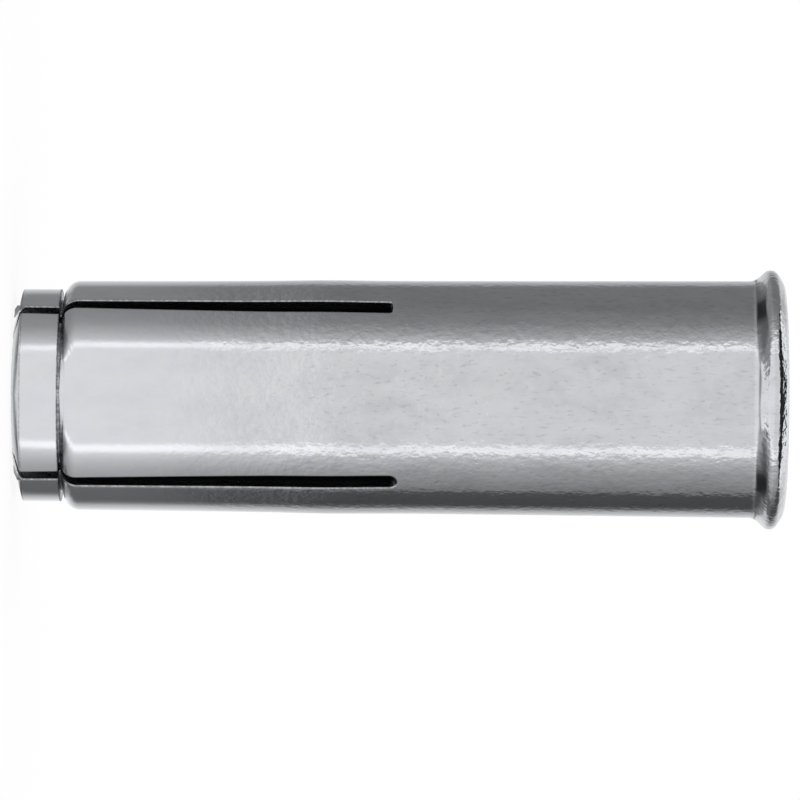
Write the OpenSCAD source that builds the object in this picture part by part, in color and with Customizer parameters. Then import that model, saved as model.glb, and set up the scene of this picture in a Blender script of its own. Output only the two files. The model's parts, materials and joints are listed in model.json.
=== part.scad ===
// Drop-in anchor, M20 thread, 80 mm long, for a 25 mm hole in concrete.
// A slotted steel sleeve holds a loose-fitting expander plug. The plug is driven down the taper
// of the sleeve's bore with a setting tool, which spreads the four legs against the hole.
// The anchor stands on its nose: the expansion end is at z = 0 and the threaded mouth is on top.
// Sizes are millimetres and degrees.

/* [Sleeve] */
// Length from the nose face to the mouth face
anchor_len = 80; // [74:0.5:95]
// Core diameter of the M20 thread, which has a pitch of 2.5
thread_core_d = 17.5; // [16.5:0.05:18.5]
// Wall between the thread's core and the plain shank's surface, for a shank of 24.6
shank_wall = 3.55; // [3.2:0.05:4.5]
// How far the leg tips are squeezed in, on the radius
leg_squeeze = 0.4; // [0.1:0.05:0.6]
// Height above the nose face where the squeeze begins
squeeze_z = 29.5; // [20:0.5:34]

/* [Rim] */
// How far the rim stands out from the shank, on the radius
rim_out = 1.17; // [0.9:0.01:1.6]
// Rounding of the rim's outer edge
rim_edge_r = 1.2; // [0.8:0.05:1.5]
// Angle between the underside of the rim and the axis
rim_flare = 40; // [30:1:50]
// Fillet between the shank and the rim
rim_fillet_r = 1.2; // [0.4:0.1:1.8]

/* [Nose] */
// How far the nose ring lies below the leg tips, on the radius
nose_step = 0.87; // [0.5:0.01:1.4]
// Height of the nose ring's back above the lowest point
nose_ring_top = 4.9; // [4:0.1:6]
// Rounding of the nose ring's outer edge
nose_edge_r = 0.3; // [0.1:0.05:0.6]
// How far the nose face slopes back from its middle to the ring's edge
nose_cone = 0.95; // [0.3:0.05:1.4]
// Width of the flat land round the hole in the nose, on which the anchor stands
nose_flat = 0.9; // [0.5:0.1:1.5]
// Width of the flat floor of the groove behind the nose ring
groove_floor = 0.15; // [0.1:0.05:0.8]
// Rounded shoulder from the groove floor up to the leg surface
shoulder_r = 2.2; // [1.8:0.05:2.5]

/* [Slots] */
// Length of the first pair of slots, which end square
slot_a_len = 39.3; // [34:0.1:42]
// Length of the second pair of slots, which end round
slot_b_len = 39.8; // [34:0.1:42]
// Slot width at the root
slot_root_w = 1.7; // [1.2:0.05:2.2]
// Slot width at the nose face, where the squeeze has closed it
slot_nose_w = 1.16; // [0.6:0.01:1.7]
// Half the angle of the two wider legs, which are centred on the Y axis
wide_leg_half = 49; // [41:0.5:50]

/* [Bore] */
// Depth of the thread below the mouth face
thread_len = 35; // [28:0.5:37]
// How far the lead-in chamfer widens the mouth, on the radius
mouth_lead = 1.55; // [0.8:0.05:2]
// Depth of the lead-in chamfer
mouth_chamfer = 1.0; // [0.5:0.1:2]
// How far the smooth plug chamber stands in from the thread's core, on the radius
chamber_step = 0.25; // [0.1:0.05:0.5]
// Depth of the cone between the thread and the chamber
run_out = 0.5; // [0.2:0.1:2]
// Height above the nose face where the chamber begins to narrow
taper_top_z = 21; // [18:0.5:24]
// How far the bore narrows from the chamber to the nose, on the radius
taper_drop = 2.1; // [1.4:0.05:2.6]
// Length of the straight hole in the nose
nose_land = 2.0; // [1:0.1:4]

/* [Expander plug] */
// Length of the plug
plug_len = 24; // [19:0.5:26]
// Running clearance between the plug and the chamber, on the radius
plug_gap = 0.05; // [0.04:0.01:0.1]
// Clearance between the plug's tapered front and the sleeve's taper, on the radius
seat_gap = 0.03; // [0.02:0.01:0.04]
// Length of the plug's tapered front
plug_taper_len = 8; // [5:0.5:10]
// Chamfer on both ends of the plug
plug_chamfer = 0.5; // [0.2:0.1:1]

/* [Hidden] */
$fn = 96;
cut_past = 1;

// Outside of the sleeve
core_r = thread_core_d / 2;
body_r = core_r + shank_wall;
tip_r = body_r - leg_squeeze;
ring_r = tip_r - nose_step;
rim_r = body_r + rim_out;
shoulder_z = nose_ring_top + groove_floor + shoulder_r;
floor_r = tip_r - shoulder_r;

// The rim is a flare tangent to the rounded edge above it and to the fillet below it.
rim_c = [rim_r - rim_edge_r, anchor_len - rim_edge_r];
flare_top = rim_c + rim_edge_r * [cos(rim_flare), -sin(rim_flare)];
flare_low_r = body_r + rim_fillet_r * (1 - cos(rim_flare));
flare_low_z = flare_top[1] - (flare_top[0] - flare_low_r) / tan(rim_flare);
fillet_c = [body_r + rim_fillet_r, flare_low_z - rim_fillet_r * sin(rim_flare)];

// Inside of the sleeve
chamber_r = core_r - chamber_step;
nose_bore_r = chamber_r - taper_drop;
thread_end_z = anchor_len - thread_len;
taper_slope = taper_drop / (taper_top_z - nose_land);

// The nose face is a shallow cone, tangent to the rounded edge of the ring.
nose_flat_r = nose_bore_r + nose_flat;
nose_slope = atan(nose_cone / (ring_r - nose_flat_r));
nose_edge_x = ring_r - nose_edge_r;
nose_edge_z = (nose_edge_r + sin(nose_slope) * (nose_edge_x - nose_flat_r)) / cos(nose_slope);

// The plug's shoulder stops where the taper is one seat gap wider than the plug.
plug_r = chamber_r - plug_gap;
plug_shoulder_z = taper_top_z - (plug_gap - seat_gap) / taper_slope;
plug_z = plug_shoulder_z - plug_taper_len;
plug_tip_r = plug_r - plug_taper_len * taper_slope;

// Points of a circular arc, from angle a0 to angle a1
function arc(c, r, a0, a1, steps = 8) =
    [for (i = [0:steps]) let (a = a0 + (a1 - a0) * i / steps) c + r * [cos(a), sin(a)]];

// Outside of the half section, from the nose face up to the mouth face
function outer_line() = concat(
    [[nose_flat_r, 0]],
    arc([nose_edge_x, nose_edge_z], nose_edge_r, nose_slope - 90, 0),
    [[ring_r, nose_ring_top], [floor_r, nose_ring_top]],
    arc([floor_r, shoulder_z], shoulder_r, -90, 0),
    [[body_r, squeeze_z]],
    arc(fillet_c, rim_fillet_r, 180, 180 - rim_flare),
    arc(rim_c, rim_edge_r, -rim_flare, 90)
);

// Bore of the half section, from the mouth face down to the nose face
function bore_line() = [
    [core_r + mouth_lead, anchor_len],
    [core_r, anchor_len - mouth_chamfer],
    [core_r, thread_end_z],
    [chamber_r, thread_end_z - run_out],
    [chamber_r, taper_top_z],
    [nose_bore_r, nose_land],
    [nose_bore_r, 0]
];

// A saw cut right across the axis along X, narrower at the nose than at the root
module slot_pair(slot_len, round_end) {
    reach = 2 * (rim_r + cut_past);
    root_h = round_end ? slot_len - slot_root_w / 2 : slot_len;
    rotate([90, 0, 90])
        translate([0, 0, -reach / 2]) {
            linear_extrude(height = reach)
                polygon([
                    [-slot_nose_w / 2, -cut_past], [slot_nose_w / 2, -cut_past], [slot_nose_w / 2, 0],
                    [slot_root_w / 2, root_h], [-slot_root_w / 2, root_h], [-slot_nose_w / 2, 0]
                ]);
            if (round_end)
                translate([0, root_h, 0])
                    cylinder(h = reach, d = slot_root_w);
        }
}

// The one-piece steel sleeve
module sleeve() {
    color("silver")
        difference() {
            rotate_extrude()
                polygon(concat(outer_line(), bore_line()));
            rotate([0, 0, 90 - wide_leg_half])
                slot_pair(slot_a_len, false);
            rotate([0, 0, 90 + wide_leg_half])
                slot_pair(slot_b_len, true);
        }
}

// The plug that spreads the legs, resting at the start of the taper
module expander_plug() {
    color("gainsboro")
        translate([0, 0, plug_z])
            rotate_extrude()
                polygon([
                    [0, 0], [plug_tip_r - plug_chamfer, 0], [plug_tip_r, plug_chamfer],
                    [plug_r, plug_taper_len], [plug_r, plug_len - plug_chamfer],
                    [plug_r - plug_chamfer, plug_len], [0, plug_len]
                ]);
}

sleeve();
expander_plug();
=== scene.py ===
# %% [markdown]
# # A drop-in anchor
#
# This is an anchor for concrete: a steel sleeve with a thread inside its mouth and four springy
# legs at the other end, and a loose plug that is hammered down to spread the legs. It is
# cold-formed, sawn, tapped and zinc plated, so its look comes from three things: a clean turned
# outline, slots with crisp bright edges, and a smooth metal skin full of tiny knocks from
# tumbling in the plating drum. The cells below make these in turn, then the studio and the camera.

# %% Load the frame
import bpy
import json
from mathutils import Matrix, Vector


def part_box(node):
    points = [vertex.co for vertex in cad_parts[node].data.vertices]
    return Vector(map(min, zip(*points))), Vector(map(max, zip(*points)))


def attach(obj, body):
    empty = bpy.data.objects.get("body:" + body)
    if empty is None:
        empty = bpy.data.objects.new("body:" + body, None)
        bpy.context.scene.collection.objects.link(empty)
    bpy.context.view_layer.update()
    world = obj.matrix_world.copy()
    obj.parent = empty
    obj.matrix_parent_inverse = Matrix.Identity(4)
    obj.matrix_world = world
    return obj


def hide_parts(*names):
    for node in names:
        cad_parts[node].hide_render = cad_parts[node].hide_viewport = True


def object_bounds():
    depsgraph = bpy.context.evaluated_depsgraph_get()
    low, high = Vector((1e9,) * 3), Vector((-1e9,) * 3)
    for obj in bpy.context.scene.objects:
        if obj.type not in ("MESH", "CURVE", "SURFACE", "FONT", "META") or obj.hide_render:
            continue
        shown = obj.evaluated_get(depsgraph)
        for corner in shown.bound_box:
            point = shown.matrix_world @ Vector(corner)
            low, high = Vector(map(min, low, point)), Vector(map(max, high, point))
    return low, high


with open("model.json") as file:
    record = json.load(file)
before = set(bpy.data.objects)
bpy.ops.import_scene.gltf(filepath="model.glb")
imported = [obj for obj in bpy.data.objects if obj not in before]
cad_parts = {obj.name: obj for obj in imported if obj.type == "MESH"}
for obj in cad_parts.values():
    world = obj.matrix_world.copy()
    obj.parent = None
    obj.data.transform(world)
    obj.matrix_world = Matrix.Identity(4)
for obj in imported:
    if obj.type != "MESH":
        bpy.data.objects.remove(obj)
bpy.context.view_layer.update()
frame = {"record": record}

import json
import bmesh
import bpy
import numpy as np
from mathutils import Matrix, Vector

MM = 0.001
mounts = {mount["name"]: mount for mount in frame["record"]["mounts"]}

# %% [markdown]
# ## The driving sizes
#
# The length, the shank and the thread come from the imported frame, so the looks can't drift away
# from the construction. The rest are the same few workshop sizes that a drawing of the sleeve
# would give, in millimetres and degrees. Every curve further down is worked out from them.

# %% Sizes of the sleeve
# Length, rim, shank and thread core, as the frame has them
anchor_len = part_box("sleeve")[1][2] / MM
rim_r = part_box("sleeve")[1][0] / MM
body_r = mounts["shank"]["dims"]["r_mm"]
core_r = mounts["internal_thread"]["dims"]["r_mm"]
# How far the leg tips are squeezed in, and the height where that begins
leg_squeeze, squeeze_z = 0.4, 29.5
# The rim: its bead with the flare and fillet below it, the pressed bevel and the mouth's edge above
rim_edge_r, rim_flare, rim_fillet_r = 0.9, 43.0, 1.6
rim_bevel, rim_bead_down, mouth_edge_r = 57.0, 1.5, 2.4
# The nose ring with the roundings of its two edges, its cone face and land, and the groove behind it
nose_step, nose_ring_top, nose_edge_r, ring_back_r = 0.87, 4.9, 0.22, 0.06
nose_cone, nose_flat = 0.95, 0.9
groove_floor, shoulder_long, shoulder_deep = 0.22, 1.73, 2.05
# The slots: width, widening at the nose, edge rounding, place and lean, and their four root ends
slot_w, slot_flare, slot_edge_r = 1.7, 0.12, 0.16
wide_leg_half, saw_drift = 48.3, 2.0
slot_root = np.array([39.3, 39.8, 39.3, 39.8])
slot_square = np.array([5.0, 2.0, 5.0, 2.0])
# The bore: chamber, taper and nose hole, then the mouth and its M20 thread
chamber_step, taper_drop, taper_top_z, nose_land = 0.25, 2.1, 21.0, 2.0
mouth_lead, mouth_chamfer, thread_len, run_out = 1.55, 1.0, 35.0, 0.5
thread_pitch, thread_root_r = 2.5, 10.05
# Radii and heights that follow from these
tip_r = body_r - leg_squeeze
ring_r = tip_r - nose_step
floor_r = tip_r - shoulder_deep
shoulder_z = nose_ring_top + groove_floor + shoulder_long
chamber_r = core_r - chamber_step
nose_bore_r = chamber_r - taper_drop
nose_flat_r = nose_bore_r + nose_flat
thread_end_z = anchor_len - thread_len
print("shank radius", body_r, "rim radius", round(rim_r, 2), "length", round(anchor_len, 2))

# %% [markdown]
# ## Surfaces as grids
#
# A turned part could be a lathe curve with a Screw modifier, but the slots, the bent legs and the
# helical thread need every point to be placed by a formula. So each surface here is a grid: an
# array of points whose rows run along the outline and whose columns run round the axis. Two
# helpers do most of the work: one draws the arcs of an outline, and one turns it about the axis.

# %% Helpers for arcs and turned points
def arc(centre, radius, start, end, steps):
    """Points (r, z) of a circle: the centre plus the radius times (cos, sin) of even steps in degrees."""
    angle = np.radians(np.linspace(start, end, steps + 1))
    return np.column_stack([centre[0] + radius * np.cos(angle), centre[1] + radius * np.sin(angle)])


def turned(radius, angle, z):
    """Points at a radius, an angle and a height: the radius times the angle's cosine and sine, then z."""
    return np.stack([radius * np.cos(angle), radius * np.sin(angle), z + 0 * angle], axis=-1)


print("a point on the rim:", turned(rim_r, np.radians(45), anchor_len).round(2).tolist())

# %% [markdown]
# ## The outline of the sleeve
#
# The outside is one line from the nose face to the mouth face: a rounded nose ring, a groove with
# an elliptical shoulder, the plain shank, a fillet, a flare, a rounded bead and the bevel where
# the punch has pressed the mouth. The flare is a straight line that touches the bead above it and
# the fillet below it, so both centres are worked out from its angle. It could be drawn as a
# Bezier curve, but then each change of a size would mean drawing it again.

# %% Nose end of the outline
nose_slope = np.arctan2(nose_cone, ring_r - nose_flat_r)
nose_edge_x = ring_r - nose_edge_r
nose_edge_z = (nose_edge_r + np.sin(nose_slope) * (nose_edge_x - nose_flat_r)) / np.cos(nose_slope)
ring_back_z = nose_ring_top - ring_back_r

nose_edge = arc((nose_edge_x, nose_edge_z), nose_edge_r, np.degrees(nose_slope) - 90, 0, 7)
ring_back = arc((ring_r - ring_back_r, ring_back_z), ring_back_r, 0, 85, 5)
groove_low = np.array([[floor_r + 0.1, nose_ring_top + 0.02], [floor_r, nose_ring_top + 0.06]])
shoulder = arc((0.0, 0.0), 1.0, -90, 0, 20) * (shoulder_deep, shoulder_long) + (floor_r, shoulder_z)
nose_end = np.concatenate([[[nose_flat_r, 0.0]], nose_edge, ring_back, groove_low, shoulder])
print("the nose face slopes back by", round(float(np.degrees(nose_slope)), 1), "degrees")

# %% Mouth end of the outline
flare, press = np.radians(rim_flare), np.radians(rim_bevel)
rim_centre = np.array([rim_r - rim_edge_r, anchor_len - rim_bead_down])
flare_top = rim_centre + rim_edge_r * np.array([np.cos(flare), -np.sin(flare)])
flare_low_r = body_r + rim_fillet_r * (1 - np.cos(flare))
flare_low_z = flare_top[1] - (flare_top[0] - flare_low_r) / np.tan(flare)
fillet_centre = (body_r + rim_fillet_r, flare_low_z - rim_fillet_r * np.sin(flare))

rim_fillet = arc(fillet_centre, rim_fillet_r, 180, 180 - rim_flare, 10)
rim_bead = arc(rim_centre, rim_edge_r, -rim_flare, rim_bevel, 18)
mouth_edge_z = anchor_len - mouth_edge_r
bevel_low = mouth_edge_r * np.array([np.cos(press), np.sin(press)])
bevel_end_z = mouth_edge_z + bevel_low[1]
bevel_end_r = rim_bead[-1, 0] - (bevel_end_z - rim_bead[-1, 1]) * np.tan(press)
mouth_edge = arc((bevel_end_r - bevel_low[0], mouth_edge_z), mouth_edge_r, rim_bevel, 90, 10)
bevel = np.linspace(rim_bead[-1], mouth_edge[0], 5)[1:-1]
rim_edge = np.concatenate([rim_bead, bevel, mouth_edge])
print("the fillet under the rim starts at", round(float(rim_fillet[0, 1]), 2), "mm")

# %% [markdown]
# ## Radius at any height
#
# The bore is a second line beside the outside. Both are read as a radius for a height, because
# the slots need inner and outer points at the same heights. A saw cut into a turned mesh could be
# a Boolean modifier, but its ragged faces would spoil the long mirror reflections.

# %% Outline of the outside and the bore
outer_line = np.concatenate([nose_end, rim_fillet, rim_edge])
bore_line = np.array([
    [nose_bore_r + 0.3, 0], [nose_bore_r, 0.3], [nose_bore_r, nose_land],
    [chamber_r, taper_top_z], [chamber_r, thread_end_z - run_out],
])
swell_high, swell_z, swell_long = 0.09, 32.5, 5.0


def outer_radius(z):
    """Radius of the outside at a height: read off between the outline's points, plus a low bell curve."""
    swelling = swell_high * np.exp(-((z - swell_z) / swell_long) ** 2)
    return np.interp(z, outer_line[:, 1], outer_line[:, 0]) + swelling


def bore_radius(z):
    """Radius of the smooth bore at a height below the thread: read off between the bore's points."""
    return np.interp(z, bore_line[:, 1], bore_line[:, 0])


print("outline:", len(outer_line), "points outside,", len(bore_line), "in the bore")

# %% [markdown]
# ## The squeeze of the legs
#
# After sawing, the maker squeezes the legs in a little, so that the anchor slips into its hole and
# grips its plug. Each leg bends inwards as one stiff tongue, which also closes the slots towards
# the nose. A tapered turning would look alike from the side, but only a real bend narrows the
# slots by itself and keeps each leg's own roundness.

# %% Bend of the legs
bend_half = 4.0


def squeeze(z):
    """How far a leg has moved in at a height: zero, then a parabola in the bend, then a straight slope."""
    slope = leg_squeeze / (squeeze_z - shoulder_z)
    below = squeeze_z - z
    curve = slope * np.clip(below + bend_half, 0, None) ** 2 / (4 * bend_half)
    return np.where(below > bend_half, slope * below, curve)


def leg_direction(leg):
    """Unit vector along the middle of a leg: cosine and sine of a quarter turn times its number."""
    return turned(1.0, np.radians(90.0 * leg), 0.0)


def bent(points, leg):
    """The points less the leg's direction times the squeeze at their height, so the leg moves in."""
    return points - squeeze(points[..., 2])[..., None] * leg_direction(leg)


print("squeeze at the shoulder:", round(float(squeeze(np.array(shoulder_z))), 3), "mm")

# %% [markdown]
# ## The shape of a slot
#
# A slot is a straight saw cut. Seen from outside it has two parallel sides and an end that is
# square on one pair of slots and round on the other. A superellipse gives both ends with one
# formula: an exponent of 2 is a circle, and 5 is nearly square. The same outline, grown by the
# radius of the edge rounding, is where the skin of the leg stops. The blank sat a little tilted
# under the saw, so all four cuts lean the same way.

# %% Slot outline
nose_corner, saw_end_z = 0.1, 39.0
slot_start = np.array([90 - wide_leg_half, 90 + wide_leg_half, 270 - wide_leg_half, 270 + wide_leg_half])
slot_lean = np.array([1, -1, -1, 1])


def slot_half_width(z, slot, grow):
    """Half the slot's width at a height: straight sides that close at the root as a superellipse,
    a quarter circle that opens them at the nose face, and a margin all round."""
    start = slot_root[slot] - slot_w / 2
    reach = np.clip((z - start) / (slot_root[slot] + grow - start), 0, 1)
    power = slot_square[slot]
    flared = nose_corner * (1 - np.sqrt(1 - np.clip(1 - z / nose_corner, 0, 1) ** 2))
    width = slot_w + slot_flare * np.clip(1 - z / slot_root[slot], 0, 1)
    return (width / 2 + grow + flared) * (1 - reach ** power) ** (1 / power)


def slot_angle(slot, z):
    """Angle of a slot at a height: where the saw starts, plus a lean that grows evenly to the nose."""
    drift = saw_drift * np.clip(1 - z / saw_end_z, 0, 1)
    return np.radians(slot_start[slot] + drift * slot_lean[slot])


def edge_depth(grow):
    """Depth of the edge rounding where it stands out from the slot wall by a margin: a quarter circle."""
    across = 1 - grow / slot_edge_r
    return slot_edge_r * (1 - np.sqrt(np.clip(1 - across ** 2, 0, 1)))


print("slots at", slot_start.tolist(), "degrees, and at the nose",
      np.round(np.degrees(slot_angle(np.arange(4), 0.0)), 1).tolist())

# %% [markdown]
# ## Rows of the mesh
#
# The heights of the rows are chosen before any surface is made, because the skin, the slot walls
# and the nose faces have to share them. They crowd together where the outline turns and where a
# slot ends, and spread out along the plain shank. A Subdivision Surface could smooth fewer rows,
# but it would round off the crisp edges of the saw cuts.

# %% Heights of the rows
def root_levels(slot):
    """Heights through a slot's root, closest together at its very end, by a sine."""
    start = slot_root[slot] - slot_w / 2
    swing = np.sin(np.radians(np.linspace(0, 90, 11)))
    return np.append(start + (slot_root[slot] + slot_edge_r - start) * swing, slot_root[slot])


leg_top_z, beside_edge = 40.6, 0.07
leg_levels = np.unique(np.round(np.concatenate([
    np.linspace(0, nose_edge[0, 1], 9),
    nose_edge[:, 1],
    np.linspace(nose_edge_z, ring_back_z, 8),
    [nose_edge_z + beside_edge, ring_back_z - beside_edge],
    ring_back[:, 1],
    groove_low[:, 1],
    shoulder[:, 1],
    np.linspace(shoulder_z, 38.0, 58),
    root_levels(0),
    root_levels(1),
    [40.3, leg_top_z],
]), 5))
body_levels = np.concatenate([
    np.linspace(leg_top_z, rim_fillet[0, 1], 60)[1:],
    rim_fillet[1:, 1],
    np.linspace(rim_fillet[-1, 1], rim_edge[0, 1], 5)[1:-1],
    rim_edge[:, 1],
])
print(len(leg_levels), "rows along the legs and", len(body_levels), "above them")

# %% [markdown]
# ## The skin
#
# The skin of the sleeve is four grids, one for each quarter. A grid's rows follow the whole
# section round: up the outside, over the rim, across the mouth face, down the bore and back
# to the nose. Its columns spread from one slot to the next, so the grids part where there is a
# slot and meet where there is none.

# %% Rows of the section
mouth_r = core_r + mouth_lead
lead_slope = mouth_lead / mouth_chamfer
lead_end_z = anchor_len - (mouth_r - thread_root_r) / lead_slope
mouth_rows = np.array([[mouth_r + 0.7, anchor_len], [mouth_r + 0.1, anchor_len],
                       [mouth_r, anchor_len - 0.04], [thread_root_r, lead_end_z]])
thread_wall = np.column_stack([
    np.full(24, thread_root_r), np.linspace(lead_end_z, thread_end_z + 1.0, 25)[1:],
])
step_rows = np.array([[chamber_r + 0.05, thread_end_z - 0.3], [chamber_r, thread_end_z - run_out],
                      [chamber_r, 42.5], [chamber_r, 41.2]])
upper_rows = np.concatenate([mouth_rows, thread_wall, step_rows])
down_levels = leg_levels[::-1]

row_z = np.concatenate([leg_levels, body_levels, upper_rows[:, 1], down_levels])
row_r = np.concatenate([
    outer_radius(leg_levels), outer_radius(body_levels), upper_rows[:, 0], bore_radius(down_levels),
])
row_r = row_r + squeeze(row_z)
is_outside = np.arange(len(row_z)) < len(leg_levels) + len(body_levels)
print("the section has", len(row_z), "rows,", int(is_outside.sum()), "of them outside")

# %% [markdown]
# ## Waves on the rim and the filled groove
#
# Two things keep the sleeve from being a perfect turning. Upsetting the rim leaves it a few
# hundredths of a millimetre out of true, which breaks the dark line in its bead into jags. And the
# groove behind the nose ring is nearly closed in the middle of each wide leg. A Displace modifier
# could push both in, but a formula of the angle and the height leaves the slots' edges alone.

# %% Rim waves and groove fill
fill_away = (0, 0.11, 0.34, 0.65, 0.82, 0.97)
fill_level = (10.93, 10.9, 10.83, 10.68, 10.4, 9.2)
fill_slope, fill_start, fill_rise = 0.8, 0.22, 0.62


def rim_wobble(angle, z):
    """Uneven rim: four sine waves round the axis, faded in by a smooth step over the rim's height."""
    waves = 0.5 * np.sin(5 * angle + 0.7) + 0.35 * np.sin(11 * angle + 2.1) + 0.3 * np.sin(23 * angle)
    waves = waves + 0.22 * np.sin(41 * angle + 1.3)
    height = np.clip((z - rim_fillet[0, 1]) / 2.0, 0, 1)
    return 0.035 * waves * height * height * (3 - 2 * height)


def groove_fill(leg, spread, z):
    """Least radius in the groove of a wide leg: a floor that drops from the leg's middle to its sides,
    plus a slope up to the shoulder. The two narrow legs have none."""
    away = np.abs(2 * spread - 1)
    level = np.interp(away, fill_away, fill_level)
    is_wide = leg % 2 == 1
    return (level + fill_slope * np.clip(z - nose_ring_top - fill_start, 0, fill_rise)) * is_wide


print("the groove is", round(ring_r - fill_level[0], 2), "mm deep in the middle of a wide leg and",
      round(ring_r - floor_r, 2), "mm beside its slots")

# %% Skin grids
def skin_quarter(leg, spread):
    """Grid of one quarter: in each row the angle runs from slot to slot, at the radius of that row."""
    grow = np.where(is_outside, slot_edge_r, 0.0)
    before, after = (leg - 1) % 4, leg
    low = slot_angle(before, row_z) + np.arcsin(slot_half_width(row_z, before, grow) / row_r)
    high = slot_angle(after, row_z) - np.arcsin(slot_half_width(row_z, after, grow) / row_r)
    low = low - 2 * np.pi * (leg == 0)
    angle = low[:, None] + (high - low)[:, None] * spread
    z, outside = row_z[:, None], is_outside[:, None]
    radius = row_r[:, None] + np.where(outside, rim_wobble(angle, z), 0.0)
    in_groove = outside & (z > nose_ring_top) & (z < shoulder_z)
    filled = np.maximum(radius, groove_fill(leg, spread, z) + squeeze(z))
    radius = np.where(in_groove, filled, radius)
    return bent(turned(radius, angle, z), leg)


edge_columns = np.array([0.004, 0.012, 0.025])
middle_columns = np.linspace(0.05, 0.95, 31)
spread = np.concatenate([[0.0], edge_columns, middle_columns, 1 - edge_columns[::-1], [1.0]])
skin_grids = [skin_quarter(leg, spread) for leg in range(4)]
print("each quarter has", skin_grids[0].shape[0], "by", skin_grids[0].shape[1], "points")

# %% [markdown]
# ## The slot walls
#
# Each slot side is two more grids. The first rolls from the skin into the slot along a quarter
# circle, which makes the thin bright line seen along every slot. The second is the flat sawn
# wall down to the bore. At the root both shrink onto the middle line, where the opposite side
# meets them. A Bevel modifier could round these edges, but not with the rows that the skin has.

# %% Slot walls
edge_turn = np.radians(np.linspace(0, 90, 5))
wall_share = np.linspace(0, 1, 9)


def slot_frame(slot, side, across, along, z):
    """Points on one side of a slot: along its direction plus across it, turned by its angle, then bent."""
    angle = slot_angle(slot, z)
    x = along * np.cos(angle) - side * across * np.sin(angle)
    y = along * np.sin(angle) + side * across * np.cos(angle)
    leg = (slot + 1) % 4 if side > 0 else slot
    return bent(np.stack([x, y, z + 0 * x], axis=-1), leg)


def chord(radius, across):
    """How far along the slot a circle lies at a distance across it, by Pythagoras."""
    return np.sqrt(radius ** 2 - across ** 2)


def edge_grid(slot, side):
    """Rounded edge: at each height the margin falls from the edge radius to zero, while the depth grows
    by a quarter circle."""
    z = leg_levels[leg_levels <= slot_root[slot] + slot_edge_r + 1e-6][:, None]
    grow = np.maximum(slot_edge_r * (1 - np.sin(edge_turn))[None, :], z - slot_root[slot])
    grow = np.minimum(grow, slot_edge_r)
    across = slot_half_width(z, slot, grow)
    along = chord(outer_radius(z) + squeeze(z), across) - edge_depth(grow)
    return slot_frame(slot, side, across, along, z)


def wall_grid(slot, side):
    """Sawn wall: straight rules from the foot of the rounded edge to the bore."""
    z = leg_levels[leg_levels <= slot_root[slot] + 1e-6][:, None]
    across = slot_half_width(z, slot, 0.0) + 0 * wall_share
    top = chord(outer_radius(z) + squeeze(z), across) - slot_edge_r
    foot = chord(bore_radius(z) + squeeze(z), across)
    return slot_frame(slot, side, across, top + (foot - top) * wall_share, z)


slot_grids = [make(slot, side) for make in (edge_grid, wall_grid) for slot in range(4) for side in (1, -1)]
print(len(slot_grids), "grids line the four slots")

# %% [markdown]
# ## The nose faces and the weld
#
# The last open place is the flat end of each leg, which the anchor stands on. It could be one
# big face, but a face with a thin curved outline shades badly. So it is rings again, from the
# outer edge to the bore, each as wide as the slot walls leave it. Then the grids become one mesh.
# Where two of them meet, their points lie at the same places, so merging those closes the skin.

# %% Nose faces
def nose_face(leg):
    """Flat end of a leg: rings whose distance from the slot's middle and along it are those of its walls."""
    outer, bore = outer_radius(0.0) + squeeze(0.0), bore_radius(0.0) + squeeze(0.0)
    grow = slot_edge_r * (1 - np.sin(edge_turn))
    inner = np.full(len(wall_share) - 1, slot_half_width(0.0, 0, 0.0))
    across = np.concatenate([slot_half_width(0.0, 0, grow), inner])
    along = chord(outer, across[:len(edge_turn)]) - edge_depth(grow)
    foot = chord(bore, across[-1])
    along = np.concatenate([along, along[-1] + (foot - along[-1]) * wall_share[1:]])
    radius, inset = np.hypot(across, along), np.arctan2(across, along)
    low = slot_angle((leg - 1) % 4, 0.0) - 2 * np.pi * (leg == 0) + inset
    high = slot_angle(leg, 0.0) - inset
    angle = low[:, None] + (high - low)[:, None] * spread
    return bent(turned(radius[:, None], angle, 0.0), leg)


nose_grids = [nose_face(leg) for leg in range(4)]
print("each nose face has", nose_grids[0].shape[0], "rings of", nose_grids[0].shape[1], "points")

# %% The weld
def quads(rows, columns, first=0, wrap=False):
    """Corner numbers of each cell of a grid stored row by row, joined round to column 0 if it wraps."""
    number = first + np.arange(rows * columns).reshape(rows, columns)
    right = np.roll(number, -1, axis=1) if wrap else number[:, 1:]
    left = number if wrap else number[:, :-1]
    corners = [left[:-1], right[:-1], right[1:], left[1:]]
    return np.stack(corners, axis=-1).reshape(-1, 4)


def welded_piece(name, grids, wraps=None, weld=2e-7, sharp=38.0):
    """One mesh object from point grids in millimetres: points within a distance in metres merge, normals
    turn outwards, and edges beyond an angle stay sharp."""
    points, faces, count = [], [], 0
    for i, grid in enumerate(grids):
        rows, columns = grid.shape[:2]
        faces.append(quads(rows, columns, count, bool(wraps and wraps[i])))
        points.append(grid.reshape(-1, 3))
        count += rows * columns
    mesh = bpy.data.meshes.new(name)
    mesh.from_pydata(np.concatenate(points) * MM, [], np.concatenate(faces).tolist())
    edit = bmesh.new()
    edit.from_mesh(mesh)
    bmesh.ops.remove_doubles(edit, verts=edit.verts, dist=weld)
    bmesh.ops.dissolve_degenerate(edit, edges=edit.edges, dist=weld)
    bmesh.ops.recalc_face_normals(edit, faces=edit.faces)
    open_edges = sum(1 for edge in edit.edges if not edge.is_manifold)
    edit.to_mesh(mesh)
    edit.free()
    mesh.shade_smooth()
    mesh.set_sharp_from_angle(angle=np.radians(sharp))
    piece = bpy.data.objects.new(name, mesh)
    bpy.context.scene.collection.objects.link(piece)
    print(name, "has", len(mesh.polygons), "faces and", open_edges, "open edges")
    return piece


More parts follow.
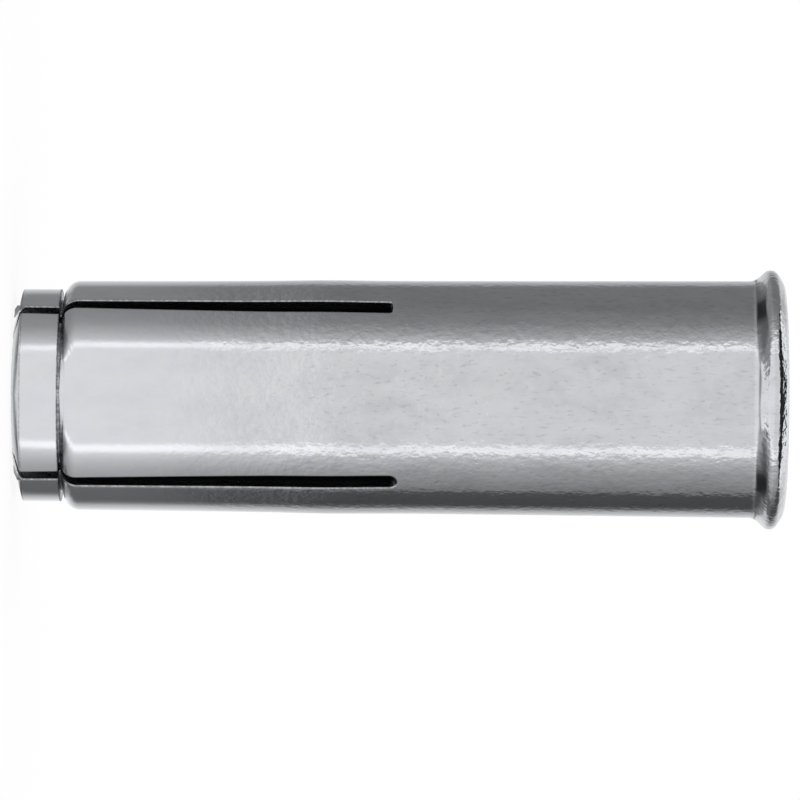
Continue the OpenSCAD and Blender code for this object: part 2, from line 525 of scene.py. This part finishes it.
sleeve_skin = welded_piece("sleeve_skin", skin_grids + slot_grids + nose_grids)
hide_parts("sleeve")

# %% [markdown]
# ## The thread
#
# An internal thread could be a Screw modifier on a small profile. Here it is a formula instead: a
# tooth section carried along a helix. The skin's bore has the diameter of the thread's root, and
# the ridge stands inwards from it. Its crest follows the lead-in chamfer at the mouth, so it
# rises out of the cone as a tapped thread does.

# %% Thread ridge
tooth_half, tooth_soft, flank = 1.06, 0.05, np.tan(np.radians(30))
tooth_first, turns_short, fade_turns = 0.75, 0.3, 0.4


def thread_ridge():
    """Tooth section carried along a helix: its height is the pitch times the turns, and its crest
    stays inside the chamfer's cone. The first part of a turn fades in from the root."""
    last_turn = (anchor_len - thread_end_z) / thread_pitch - turns_short
    turns = np.linspace(0.0, last_turn, 1500)[:, None]
    centre_z = thread_end_z + tooth_first + thread_pitch * turns
    chamfer = core_r + np.clip(centre_z - (anchor_len - mouth_chamfer), 0, None) * lead_slope
    fade = np.clip(1 - turns / fade_turns, 0, 1)
    crest = np.maximum(core_r, chamfer) + fade * (thread_root_r - core_r)
    crest = np.minimum(crest, thread_root_r + 0.08)
    root = np.full_like(crest, tooth_half)
    top = tooth_half - (thread_root_r - crest) * flank
    buried = np.full_like(crest, thread_root_r + 0.35)
    foot, soft_crest = buried - 0.3, crest + tooth_soft
    radius = [buried, foot, soft_crest, crest, crest, soft_crest, foot, buried]
    offset = [-root, -root, -top, -top + tooth_soft, top - tooth_soft, top, root, root]
    radius, offset = np.concatenate(radius, axis=1), np.concatenate(offset, axis=1)
    angle = 2 * np.pi * turns
    return turned(radius, angle, np.minimum(centre_z + offset, anchor_len - 0.06))


ridge = thread_ridge()
caps = [np.stack([end[:4], end[:3:-1]]) for end in (ridge[0], ridge[-1])]
thread = welded_piece("thread_ridge", [ridge] + caps, wraps=[True, False, False])

# %% [markdown]
# ## The expander plug
#
# The plug is a plain turned pin with a tapered front, so its outline is carried round the axis.
# A Cylinder with a Bevel modifier would come close, but not with the taper that fits the bore.
# Its small rounded edges matter: without them none would catch the light inside the dark bore.

# %% Expander plug
plug_low, plug_high = (np.array(corner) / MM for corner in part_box("expander_plug"))
plug_r = plug_high[0]
plug_taper_len, plug_edge_r = 8.0, 0.5
plug_tip_r = plug_r - plug_taper_len * taper_drop / (taper_top_z - nose_land)


def plug_grid():
    """The plug's outline turned about the axis: a rounded tip, the taper, the straight part and a
    rounded top with the small dimple that the lathe's centre leaves."""
    tip = arc((plug_tip_r - plug_edge_r, plug_low[2] + plug_edge_r), plug_edge_r, -90, 0, 5)
    top = arc((plug_r - plug_edge_r, plug_high[2] - plug_edge_r), plug_edge_r, 0, 90, 5)
    waist = np.array([[plug_r, plug_low[2] + plug_taper_len]])
    dimple = np.array([[1.6, plug_high[2]], [0.9, plug_high[2] - 0.35], [0.0, plug_high[2] - 0.5]])
    line = np.concatenate([[[0.0, plug_low[2]]], tip, waist, top, dimple])
    radius, z = line[:, :1], line[:, 1:]
    return turned(radius, np.linspace(0, 2 * np.pi, 96, endpoint=False), z)


plug = welded_piece("plug_body", [plug_grid()], wraps=[True])
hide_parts("expander_plug")
for piece, slot_name in ((sleeve_skin, "zinc_sleeve"), (thread, "zinc_sleeve"), (plug, "zinc_plug")):
    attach(piece, "root")

# %% [markdown]
# ## Burrs at the nose
#
# The saw leaves a curl of metal where it breaks out at the nose, and two of them can be seen on
# the real anchor, each bridging the end of its slot. A burr is a flat leaf: an ellipse carried
# along a short bent path, shrinking to nothing at its tip. It could be sculpted by hand, but two
# angles and a width place it exactly. Without the burrs the nose would look too clean to be real.

# %% Burr leaves
burr_thick, burr_curl = 0.2, 0.22


def burr(start, end, width):
    """Flat ellipse carried along a path that sags by a half sine: its width falls off as a root of the
    way left, and a sine makes its sides ragged."""
    u = np.linspace(0, 1, 15)[:, None]
    turn = np.linspace(0, 2 * np.pi, 12, endpoint=False)[None, :]
    length = end - start
    out = np.array([start[0], start[1], 0.0]) / np.hypot(start[0], start[1])
    flat = np.cross(out, length / np.linalg.norm(length))
    size = (1 - u) ** 0.6
    path = start + u[..., None] * length + burr_curl * np.sin(np.pi * u)[..., None] * out
    ragged = 1 + 0.25 * np.sin(9 * u + start[0]) * u
    grid = path + (width / 2 * size * ragged * np.cos(turn))[..., None] * flat
    return grid + (burr_thick / 2 * size * np.sin(turn))[..., None] * out


burr_pieces = []
burr_ends = (("burr_square_slot", 215.2, 222.8, 1.0), ("burr_round_slot", 324.6, 314.8, 0.66))
for name, start_angle, end_angle, width in burr_ends:
    base, tip = turned(10.9, np.radians(start_angle), 0.95), turned(10.5, np.radians(end_angle), 0.3)
    leaf = burr(base, tip, width)
    base_cap = np.stack([leaf[0, :6], leaf[0, :5:-1]])
    burr_pieces.append(welded_piece(name, [leaf, base_cap], wraps=[True, False]))
for piece in burr_pieces:
    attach(piece, "root")

# %% [markdown]
# ## Dark places on the bright skin
#
# The groove behind the nose ring gets a painted shade, in a lens over each leg that is tallest
# towards the slots, and the crease under the rim gets a painted shade and painted dark reflections.
# Both could be painted by hand on a texture, but here each is a formula that gives a shade from 0
# to 1 for any point.

# %% Shades in the groove and under the rim
def around(points):
    """Angle of each point round the axis, in degrees."""
    return np.degrees(np.arctan2(points[:, 1], points[:, 0]))


def groove_shade(points):
    """Painted shade and dullness in the groove, as a lens: over each leg its height grows from the
    middle, is greatest at 29 degrees and then falls, and it is fainter in its lowest half millimetre."""
    away = np.abs((around(points) + 45) % 90 - 45)
    height = np.interp(away, (0, 4, 10, 20, 29, 34, 38, 50), (0.0, 0.1, 0.35, 0.85, 1.05, 0.8, 0.55, 0.4))
    depth = np.interp(away, (0, 4, 8, 12, 17, 22, 29, 40), (0.0, 0.1, 0.28, 0.36, 0.36, 0.46, 0.6, 0.65))
    above = points[:, 2] - nose_ring_top
    depth = depth * (0.35 + 0.65 * np.clip((above - 0.3) / 0.3, 0, 1))
    return depth * np.clip(above / 0.03, 0, 1) * np.clip((height - above) / 0.25 + 0.5, 0, 1)


def crease_shade(points):
    """Painted shade and painted dark reflection in the crease under the rim: between a low and a high
    line, a thin ring that opens into four long lenses above the slots, darkest at their middles."""
    angle, z = around(points), points[:, 2]
    away = np.abs(angle % 90 - 45)
    low = np.interp(away, (0, 14, 26, 30), (76.75, 76.7, 76.75, 76.87))
    low = low + 0.04 * np.sin(np.radians(9 * angle))
    high = np.interp(away, (0, 14, 26, 30), (77.75, 77.8, 77.5, 77.02))
    high = high + 0.06 * np.sin(np.radians(14 * angle))
    depth = np.interp(away, (0, 5, 9, 26, 32, 45), (1.0, 0.97, 0.6, 0.55, 0.8, 0.65))
    return depth * np.clip((z - low) / 0.12 + 0.5, 0, 1) * np.clip((high - z) / 0.12 + 0.5, 0, 1)


groove_spot = turned(ring_r, np.radians([29]), nose_ring_top + 0.6)
print("shade of the groove at its tallest:", round(float(groove_shade(groove_spot)[0]), 2))

# %% [markdown]
# ## Thin plating, painted shade and rubbed edges
#
# Two numbers are stored on every point. One says how well the zinc covers it, and it carries
# painted shade as well: plating hardly reaches into a deep bore or a narrow slot, so the inside
# is painted near black, partly for the thin plating and partly as painted shade, and the two
# painted shades above lower it too. The other says how sharply the surface turns there, because
# edges are what gets rubbed in the tumbling drum. Blender's Pointiness could find the edges while
# rendering, but a number that is kept on the points goes wherever the mesh goes.

# %% Cover of the plating, with painted shade
def mesh_arrays(piece):
    """Points in millimetres, unit normals and edge ends of a mesh as arrays."""
    mesh = piece.data
    points, normals = np.empty(len(mesh.vertices) * 3), np.empty(len(mesh.vertices) * 3)
    ends = np.empty(len(mesh.edges) * 2, dtype=np.int64)
    mesh.vertices.foreach_get("co", points)
    mesh.vertices.foreach_get("normal", normals)
    mesh.edges.foreach_get("vertices", ends)
    return points.reshape(-1, 3) / MM, normals.reshape(-1, 3), ends.reshape(-1, 2)


def plating(points):
    """Cover and painted shade: full on the outside, falling over the first millimetre of depth, for
    thinner plating and as painted shade, but less near the mouth and the nose hole, and lowered by
    the painted shades of the groove and the crease."""
    z, radius = points[:, 2], np.hypot(points[:, 0], points[:, 1])
    # Painted shade: the number falls inside the bore and the slots, partly for thinner plating and partly as
    # painted shade.
    deep = np.clip((outer_radius(z) + 0.05 - radius - 0.15) / 1.0, 0, 1)
    mouth = np.clip((z - 58.0) / 18.0, 0, 1)
    nose = np.clip(1 - z / 7.0, 0, 1)
    cover_and_shade = 1 - deep * (1 - np.maximum(mouth, nose))
    return cover_and_shade * (1 - groove_shade(points)) * (1 - crease_shade(points))


skin_cover_and_shade = plating(mesh_arrays(sleeve_skin)[0])
print("mean cover of the sleeve:", round(float(skin_cover_and_shade.mean()), 2))

# %% Plating, painted shade and wear attributes
def turning(piece):
    """How sharply the surface turns at each point: the mean change of normal a millimetre of its edges."""
    points, normals, ends = mesh_arrays(piece)
    step = np.linalg.norm(points[ends[:, 0]] - points[ends[:, 1]], axis=1)
    change = np.linalg.norm(normals[ends[:, 0]] - normals[ends[:, 1]], axis=1) / np.maximum(step, 1e-3)
    total = np.bincount(ends.ravel(), np.repeat(change, 2), len(points))
    return total / np.maximum(np.bincount(ends.ravel(), minlength=len(points)), 1)


def store(piece, name, values):
    """Keep one number a point on a mesh, where a material can read it."""
    piece.data.attributes.new(name, "FLOAT", "POINT").data.foreach_set("value", values.astype(np.float32))


rub_from, rub_over, burr_rub = 0.8, 3.0, 0.2
plug_cover = 0.35
for piece in [sleeve_skin, thread, plug] + burr_pieces:
    points = mesh_arrays(piece)[0]
    # The stored number is the plating's cover together with the painted shade of the groove, the crease and
    # the bore.
    cover_and_shade = np.ones(len(points)) if piece in burr_pieces else plating(points)
    store(piece, "plated_and_shaded", np.full(len(points), plug_cover) if piece is plug else cover_and_shade)
    rubbed = np.clip((turning(piece) - rub_from) / rub_over, 0, 1)
    store(piece, "wear", burr_rub * rubbed if piece in burr_pieces else rubbed)
    print(piece.name, "is rubbed on", round(float((rubbed > 0.5).mean()) * 100, 1), "% of its points")

# %% [markdown]
# ## Helpers for materials
#
# A material is a tree of nodes. Each could be placed and wired by hand in the Shader Editor. These
# helpers do the same in code: each adds one node, sets it, and hands on the socket that comes out
# of it, so that a material further down reads like a sum.

# %% Helpers for materials and nodes
def new_material(name):
    """An empty node material: the material, its tree and its output node."""
    material = bpy.data.materials.new(name)
    material.use_nodes = True
    tree = material.node_tree
    tree.nodes.clear()
    return material, tree, tree.nodes.new("ShaderNodeOutputMaterial")


def add(tree, kind, settings=None, **inputs):
    """A node with its properties set and its inputs given as values or as other nodes' sockets. An input
    goes by its name, or by its number after the letter i."""
    node = tree.nodes.new(kind)
    for key, value in (settings or {}).items():
        setattr(node, key, value)
    for key, value in inputs.items():
        by_number = key[0] == "i" and key[1:].isdigit()
        socket = node.inputs[int(key[1:]) if by_number else key.replace("_", " ")]
        if isinstance(value, bpy.types.NodeSocket):
            tree.links.new(value, socket)
        else:
            socket.default_value = value
    return node


print("material helpers:", [helper.__name__ for helper in (new_material, add)])

# %% Helpers for numbers and colours
def calc(tree, operation, *values):
    """Result of a Math node on values or sockets."""
    inputs = {"i" + str(i): value for i, value in enumerate(values)}
    return add(tree, "ShaderNodeMath", {"operation": operation}, **inputs).outputs[0]


def remap(tree, value, low, high, to_low, to_high):
    """A straight ramp from one range to another, held at its ends."""
    node = add(tree, "ShaderNodeMapRange", {"clamp": True}, Value=value)
    for key, number in zip(("From Min", "From Max", "To Min", "To Max"), (low, high, to_low, to_high)):
        node.inputs[key].default_value = number
    return node.outputs["Result"]


def noise(tree, where, scale, detail, rough):
    """Noise value, from 0 to 1, at a scale given in cells a millimetre."""
    node = add(tree, "ShaderNodeTexNoise", Vector=where, Scale=scale, Detail=detail, Roughness=rough)
    return node.outputs["Fac"]


def part_of(tree, vector, axis):
    """One part, X, Y or Z, of a vector or a colour."""
    return add(tree, "ShaderNodeSeparateXYZ", Vector=vector).outputs[axis]


def blend(tree, share, low, high):
    """Mix of two colours, each given as a tuple or a socket."""
    node = add(tree, "ShaderNodeMix", {"data_type": "RGBA"}, Factor=share)
    for socket, colour in ((node.inputs[6], low), (node.inputs[7], high)):
        if isinstance(colour, bpy.types.NodeSocket):
            tree.links.new(colour, socket)
        else:
            socket.default_value = (*colour, 1)
    return node.outputs[2]


def attribute(tree, name):
    """A number stored on the points of the mesh."""
    return add(tree, "ShaderNodeAttribute", {"attribute_name": name}).outputs["Fac"]


print("node helpers:", [helper.__name__ for helper in (calc, remap, noise, part_of, blend, attribute)])

# %% [markdown]
# ## The knocks in the zinc
#
# The plated skin isn't flat: it has the soft waves of orange peel, short streaks drawn along the
# axis, a fine grain, and pits where pieces hit each other in the drum. Each is a noise at its own
# scale, and together they are one height for a Bump node. Real displacement would need millions
# of faces for waves this small. As in the photograph, they grow from the middle up to the rim.

# %% Bump of the zinc
def dents(tree, mm, drawn, depth):
    """Bump height: orange peel plus streaks, grain and pits, times a zone factor that depends on Z."""
    z = part_of(tree, mm, "Z")
    zone = calc(tree, "ADD", remap(tree, z, 15.0, 31.0, 0.14, 1.0), remap(tree, z, 76.0, 78.0, 0.0, 1.3))
    zone = calc(tree, "ADD", zone, remap(tree, z, 0.4, 0.9, 1.5, 0.0))
    zone = calc(tree, "ADD", zone, remap(tree, z, 79.9, 79.98, 0.0, -1.7))
    peel = noise(tree, mm, 1.3, 2.0, 0.5)
    streak = calc(tree, "MULTIPLY", noise(tree, drawn, 2.4, 1.0, 0.5), 0.3)
    grain = calc(tree, "MULTIPLY", noise(tree, mm, 4.5, 1.0, 0.5), 0.08)
    cells = add(tree, "ShaderNodeTexVoronoi", {"feature": "F1"}, Vector=mm, Scale=0.85, Randomness=1.0)
    chosen = remap(tree, part_of(tree, cells.outputs["Color"], "X"), 0.55, 0.6, 0.0, 1.0)
    pit = calc(tree, "MULTIPLY", remap(tree, cells.outputs["Distance"], 0.03, 0.2, -0.35, 0.0), chosen)
    height = calc(tree, "ADD", calc(tree, "ADD", peel, streak), calc(tree, "ADD", grain, pit))
    height = calc(tree, "MULTIPLY", height, zone)
    return add(tree, "ShaderNodeBump", Height=height, Strength=1.0, Distance=depth * MM).outputs["Normal"]


print("waves of orange peel are", round(1 / 1.3, 2), "mm wide, and pits lie", round(1 / 0.85, 2), "mm apart")

# %% [markdown]
# ## Bright zinc
#
# Fresh zinc plating is a mirror with a bad memory: smooth enough to show the edges of the lamps,
# but broken up by knocks, dark nicks and a barely visible clouding. A plain metal shader with one
# colour would look like chrome. So the colour is built up in layers: cloudy grey over the tint, a
# warmer hue in patches, nicks, rubbed edges, and last a near black where the cover is thin, which
# is partly thin plating and partly painted shade in the bore, the slots, the groove and the crease.
# All of it is noise in the object's own coordinates, so nothing slides when the view changes.

# %% Zinc material
def zinc(name, tint, rough, depth):
    """Metal whose colour goes from near black to bright zinc with the stored number, which holds thin
    plating and painted shade, and is duller where it is worn, thin or cloudy."""
    material, tree, output = new_material(name)
    place = add(tree, "ShaderNodeTexCoord").outputs["Object"]
    mm = add(tree, "ShaderNodeMapping", Vector=place, Scale=(1000, 1000, 1000)).outputs["Vector"]
    drawn = add(tree, "ShaderNodeMapping", Vector=place, Scale=(1000, 1000, 380)).outputs["Vector"]
    z = part_of(tree, mm, "Z")
    wear, cover_and_shade = attribute(tree, "wear"), attribute(tree, "plated_and_shaded")
    greyer = tuple(0.87 * part for part in tint)
    warmer = (tint[0], tint[1] * 0.99, tint[2] * 0.96)
    # The last of these colours is near black: where the stored number is low it stands for thin plating and
    # is painted shade.
    nick_grey, rubbed_grey, bare_steel_and_shade = (0.3, 0.31, 0.33), (0.25, 0.252, 0.26), (0.05, 0.054, 0.062)

    cloud = noise(tree, drawn, 0.4, 3.0, 0.6)
    clouded = remap(tree, cloud, 0.35, 0.68, 0.0, 1.0)
    clouded = calc(tree, "MULTIPLY", clouded, remap(tree, z, 15.0, 34.0, 0.4, 1.0))
    colour = blend(tree, clouded, tint, greyer)
    hue = noise(tree, mm, 0.8, 1.0, 0.5)
    colour = blend(tree, remap(tree, hue, 0.45, 0.75, 0.0, 0.8), colour, warmer)
    nick = remap(tree, noise(tree, drawn, 3.2, 2.0, 0.5), 0.6, 0.71, 0.0, 1.0)
    nick = calc(tree, "MULTIPLY", nick, remap(tree, z, 22.0, 34.0, 0.0, 0.22))
    colour = blend(tree, nick, colour, nick_grey)
    rubbed = remap(tree, noise(tree, mm, 2.6, 1.0, 0.5), 0.38, 0.58, 0.45, 0.95)
    colour = blend(tree, calc(tree, "MULTIPLY", wear, rubbed), colour, rubbed_grey)
    # Painted shade: the colour goes near black where the stored number is low, in the groove, the crease,
    # the bore and the slots.
    colour = blend(tree, cover_and_shade, bare_steel_and_shade, colour)

    dull = remap(tree, cloud, 0.3, 0.7, rough, rough + 0.04)
    dull = calc(tree, "ADD", dull, calc(tree, "MULTIPLY", wear, 0.3))
    dull = calc(tree, "ADD", dull, remap(tree, cover_and_shade, 0.0, 1.0, 0.28, 0.0))
    shader = add(tree, "ShaderNodeBsdfPrincipled", Base_Color=colour, Roughness=dull, Metallic=1.0,
                 Normal=dents(tree, mm, drawn, depth))
    tree.links.new(shader.outputs["BSDF"], output.inputs["Surface"])
    return material


sleeve_zinc = zinc("sleeve_zinc", (0.855, 0.875, 0.914), 0.09, 0.034)
plug_zinc = zinc("plug_zinc", (0.78, 0.78, 0.785), 0.2, 0.012)
plug.data.materials.append(plug_zinc)
for piece in [sleeve_skin, thread] + burr_pieces:
    piece.data.materials.append(sleeve_zinc)
print("materials:", [material.name for material in bpy.data.materials])

# %% [markdown]
# ## The white room
#
# The photograph has a pure white ground with a faint shadow. More light on the table would turn it
# white too, but it would wash out the metal. So the world and the table simply look white to
# the camera and in reflections, and give the object no more light than a white room does.

# %% White room
def looked_at(tree):
    """1 for a ray from the camera, a reflection or clear glass, and 0 for any other: their maximum."""
    path = add(tree, "ShaderNodeLightPath").outputs
    seen = calc(tree, "MAXIMUM", path["Is Camera Ray"], path["Is Glossy Ray"])
    return calc(tree, "MAXIMUM", seen, path["Is Transmission Ray"])


room_level = 0.9
world = bpy.data.worlds.new("white_room")
bpy.context.scene.world = world
world.use_nodes = True
room = world.node_tree
room.nodes.clear()
level = remap(room, looked_at(room), 0.0, 1.0, room_level, 1.0)
sky = add(room, "ShaderNodeBackground", Color=(1, 1, 1, 1), Strength=level).outputs["Background"]
room.links.new(sky, add(room, "ShaderNodeOutputWorld").inputs["Surface"])
print(world.name, "looks white and lights at", room_level)

# %% White table
floor_half, table_level, plain_share = 4.0, 1.034, 0.85


def glow(tree, strength):
    """White emission of a strength that may be a value or a socket."""
    return add(tree, "ShaderNodeEmission", Color=(1, 1, 1, 1), Strength=strength).outputs["Emission"]


def floor_material():
    """White table: mostly plain white to the camera and in reflections, with enough matt white for a
    soft shadow."""
    material, tree, output = new_material("white_table")
    share = calc(tree, "MULTIPLY", looked_at(tree), plain_share)
    matt = add(tree, "ShaderNodeBsdfDiffuse", Color=(0.9, 0.9, 0.9, 1)).outputs["BSDF"]
    mix = add(tree, "ShaderNodeMixShader", Fac=share, i1=matt, i2=glow(tree, table_level)).outputs["Shader"]
    tree.links.new(mix, output.inputs["Surface"])
    return material


def flat_piece(name, corners, material):
    """A stage surface with four corners in metres."""
    mesh = bpy.data.meshes.new(name)
    mesh.from_pydata(corners, [], [(0, 1, 2, 3)])
    mesh.materials.append(material)
    piece = bpy.data.objects.new(name, mesh)
    bpy.context.scene.collection.objects.link(piece)
    return piece


floor_z = float(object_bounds()[0][2])
corners = [(floor_half * x, floor_half * y, floor_z) for x, y in ((-1, -1), (1, -1), (1, 1), (-1, 1))]
floor = flat_piece("floor", corners, floor_material())
print(floor.name, "at", round(floor_z / MM, 3), "mm")

# %% [markdown]
# ## The light tent
#
# A round bright pin is photographed in a light tent, because it mirrors everything near it. The
# tent here is a tall drum around the anchor: a broad pale panel in front, brighter along its two
# edges, then dark cloth at the sides, and pale again behind. Cloth lies on the table too, as bright
# as the wall in the direction that the shank mirrors, with a darker ring under the cone of the
# nose. The roof is dark, except in front and behind, where the curves of the rim mirror it. Area
# lights could do the same job, but their edges would cut hard lines. The camera doesn't see the
# tent, but the metal does.

# %% Brightness of the cloth
tent_stops = (
    (-180, 0.9), (-170, 0.7), (-160, 0.5), (-150, 0.4), (-144, 0.2), (-137, 0.18), (-99, 0.18), (-88, 0.21),
    (-77, 0.24), (-67, 0.35), (-62, 0.42), (-57, 0.5), (-54.5, 0.62), (-53, 0.95), (-49.5, 1.0), (-48, 0.74),
    (-46, 0.7), (46, 0.7), (48, 0.75), (50.5, 1.0), (55, 1.0), (59, 0.62), (67, 0.48), (78, 0.35),
    (92, 0.27), (104, 0.2), (108, 0.075), (132, 0.065), (138, 0.14), (146, 0.42), (157, 0.6), (170, 0.8),
    (180, 0.9),
)
mirror_r, table_base, table_gain = 0.0115, 0.06, 1.04
under_nose = 0.7


def tent_light(angle):
    """Brightness of the tent at an angle from the camera's side, read off between the stops."""
    return np.interp(angle, *np.array(tent_stops).T)


def table_light(angle, radius):
    """Brightness of the cloth on the table: a ray leaves the metal at twice its normal's angle, and where
    it crosses a ring of this radius, the cloth is as bright as the wall in its direction."""
    normal = np.linspace(-90, 90, 361)
    spot = 2 * normal - np.degrees(np.arcsin(mirror_r * np.sin(np.radians(normal)) / radius))
    return table_base + table_gain * np.interp(angle, spot, tent_light(2 * normal))


def nose_light(angle, radius):
    """Brightness of the cloth under the nose: pale, less a bell curve across a ring whose radius grows
    from the front to the sides."""
    away = np.abs(angle)
    centre = np.interp(away, (0, 18, 32, 50, 70), (0.00838, 0.00886, 0.00925, 0.0101, 0.0105))
    width = np.interp(away, (0, 19, 33, 50), (0.00043, 0.0005, 0.0006, 0.0009))
    low = np.interp(away, (0, 19, 33, 50), (0.3, 0.2, 0.12, 0.1))
    return under_nose - (under_nose - low) * np.exp(-((radius - centre) / width) ** 2)


print("tent in front, at the sides and behind:", tent_light(np.array([0, 90, 180])).round(2).tolist())

# %% Rings of the tent
tent_r, tent_high, roof_z = 0.9, 1.0, 1.001
nose_rings, nose_foot_r = np.linspace(0.0074, 0.0109, 13), 0.0073
cloth_z, far_cloth_z = 0.0002, 0.0003
near_rings = (0.0132, 0.0150, 0.020, 0.028)
far_rings = (0.036, 0.045, 0.06, 0.09, 0.15, 0.3)


def tent_profile(angle):
    """Rings of the drum as (radius, height, brightness by angle): out over the table, up and in again."""
    wall, edge = tent_light(angle), table_light(angle, 0.0128)
    dark = 0 * angle + 0.02
    roof = np.interp(np.abs(angle), (0, 25, 45, 119, 121), (0.76, 0.76, 0.02, 0.02, 0.9))
    nose = [(r, min(cloth_z, 0.2 * (r - nose_foot_r)), nose_light(angle, r)) for r in nose_rings]
    near = [(r, cloth_z, table_light(angle, r)) for r in near_rings]
    far = [(r, far_cloth_z, table_light(angle, r)) for r in far_rings]
    drum = [(tent_r, 0.001, wall), (tent_r, tent_high, wall), (tent_r, roof_z, roof)]
    top = [(0.56, roof_z, roof), (0.52, roof_z, dark), (0.01, roof_z, dark)]
    return nose + [(0.0111, cloth_z, edge), (0.0128, cloth_z, edge)] + near + far + drum + top


print("the drum has", len(tent_profile(np.zeros(1))), "rings")

# %% Light tent
def tent_material():
    """Cloth that glows by the brightness stored on its points."""
    material, tree, output = new_material("tent_cloth")
    tree.links.new(glow(tree, attribute(tree, "brightness")), output.inputs["Surface"])
    return material


def light_tent(toward):
    """Drum around the anchor: columns by angle from the camera's side, rows along the profile."""
    angle = np.linspace(-180, 180, 361)
    turn = np.radians(toward + angle)
    profile = tent_profile(angle)
    rings = [turned(radius, turn, height) for radius, height, _ in profile]
    mesh = bpy.data.meshes.new("light_tent")
    mesh.from_pydata(np.concatenate(rings), [], quads(len(profile), len(angle)).tolist())
    shares = np.concatenate([share for _, _, share in profile])
    mesh.attributes.new("brightness", "FLOAT", "POINT").data.foreach_set("value", shares)
    mesh.materials.append(tent_material())
    tent = bpy.data.objects.new("light_tent", mesh)
    bpy.context.scene.collection.objects.link(tent)
    tent.visible_camera = False
    tent.visible_shadow = False
    tent.visible_diffuse = False
    return tent


camera_turn = 1.9
tent = light_tent(-90.0 + camera_turn)
print(tent.name, "has", len(tent.data.polygons), "faces")

# %% [markdown]
# ## The camera
#
# The photograph shows the anchor lying on its side, seen square on with a long lens. Here the
# anchor stands, so the camera looks level at it and is rolled a quarter turn: the nose is at the
# left of the picture and the mouth at the right. It could be aimed with a Track To constraint, but
# the quarter turn and the small lean are clearer as three directions in a matrix.

# %% Camera
camera_far, eye_z, aim_z, aim_up, roll = 0.750, 42.6 * MM, 40.07 * MM, -0.267 * MM, 0.36
mm_per_pixel, picture_pixels, sensor_mm = 0.104, 800, 36.0
turn = np.radians(camera_turn)
toward_camera = np.array([np.sin(turn), -np.cos(turn), 0.0])
image_up = np.array([-np.cos(turn), -np.sin(turn), 0.0])
eye = toward_camera * camera_far + np.array([0, 0, eye_z]) + image_up * aim_up
aim = np.array([0, 0, aim_z]) + image_up * aim_up
distance = np.linalg.norm(eye - aim)
back = (eye - aim) / distance
right = np.cross(image_up, back)
lean = np.radians(roll)
across = np.cos(lean) * right + np.sin(lean) * image_up
up = np.cross(back, across)

camera_data = bpy.data.cameras.new("camera")
camera_data.sensor_width = sensor_mm
camera_data.lens = sensor_mm * distance / (picture_pixels * mm_per_pixel * MM)
camera = bpy.data.objects.new("camera", camera_data)
bpy.context.scene.collection.objects.link(camera)
camera.matrix_world = Matrix(np.column_stack([across, up, back]).tolist()).to_4x4()
camera.location = Vector(eye.tolist())
bpy.context.scene.camera = camera
bpy.context.scene.view_settings.view_transform = "Standard"
print("lens", round(camera_data.lens, 1), "mm")
